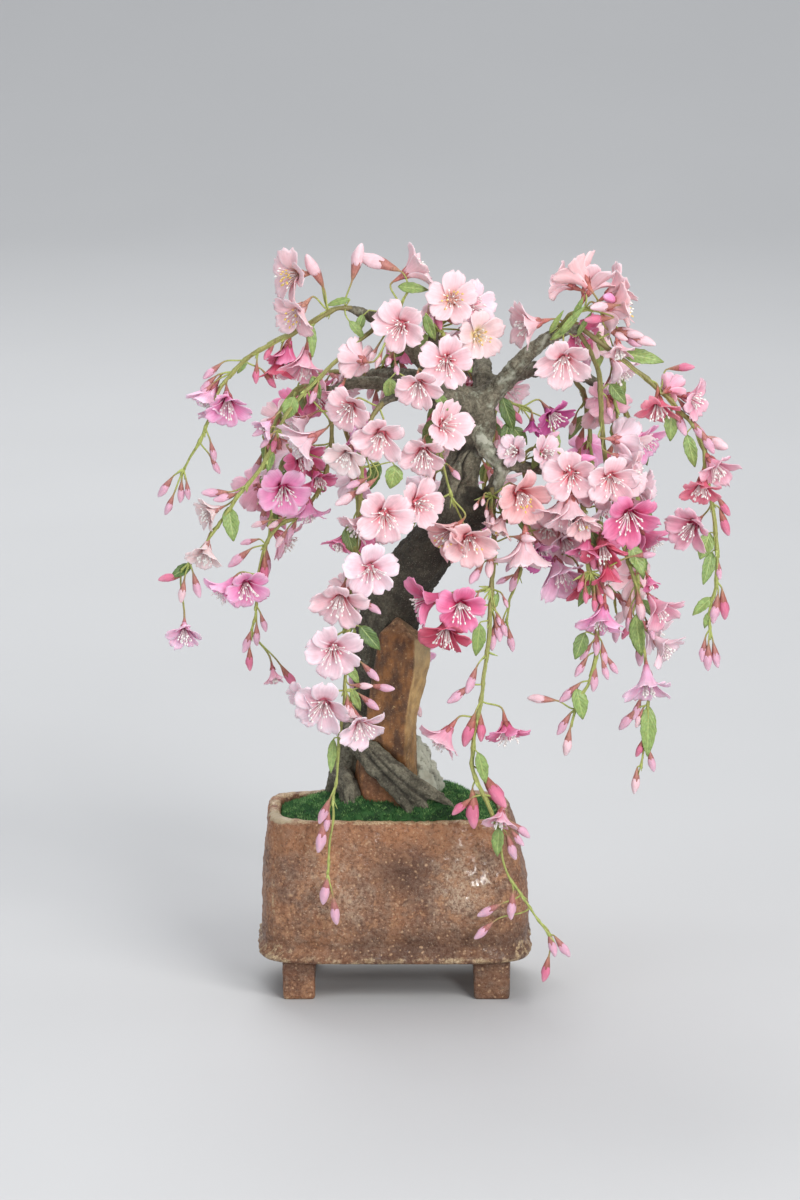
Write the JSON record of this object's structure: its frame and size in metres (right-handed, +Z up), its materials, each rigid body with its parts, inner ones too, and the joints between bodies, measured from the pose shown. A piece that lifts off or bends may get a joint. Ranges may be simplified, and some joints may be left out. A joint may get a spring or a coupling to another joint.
{
  "type": "cherry blossom bonsai",
  "caption": "Weeping cherry bonsai in flower: leaning trunk and roots over an upright stone, moss, and hanging shoots of pink blossom, in a rustic footed clay pot.",
  "frame": {"origin": "on the surface that the pot stands on, under the middle of the model's box", "axes": "+X to the onlooker's right seen from the front, -Y towards the onlooker in front, +Z up"},
  "size_m": [0.2808, 0.1924, 0.3766],
  "materials": {
    "terracotta": "rough unglazed clay with glossy white specks",
    "soil": "damp granular soil",
    "moss": "fine velvety moss",
    "stone": "rough sawn and broken stone",
    "bark": "rough grooved bark with pale lichen",
    "petal": "soft matt petal, deeper pink at the throat",
    "stamen": "fine matt filaments",
    "twig": "satin green to brown twig",
    "leaf": "satin young leaf"
  },
  "bodies": {
    "root": {"pot": "terracotta", "soil": "soil", "moss": "moss", "stone": "stone", "tree": "bark", "shoot_left_crest": "petal", "shoot_left_front": "petal", "shoot_left_inner": "petal", "shoot_front_cascade": "petal", "shoot_crown_left": "petal", "shoot_crown_right": "petal", "shoot_crown_low": "petal", "shoot_centre_trail": "petal", "shoot_right_centre": "petal", "shoot_right_spur": "petal", "shoot_right_inner": "petal", "shoot_right_crest": "petal", "shoot_right_outer": "petal", "shoot_right_behind": "petal", "shoot_centre_behind": "petal", "shoot_back_left_far": "petal", "shoot_back_left_high": "petal", "shoot_back_left_side": "petal", "shoot_back_middle_far": "petal", "shoot_back_middle_right": "petal", "shoot_back_middle_near": "petal", "shoot_back_right_high": "petal", "shoot_back_right_far": "petal", "shoot_back_top": "petal", "shoot_back_top_right": "petal"}
  },
  "joints": []
}
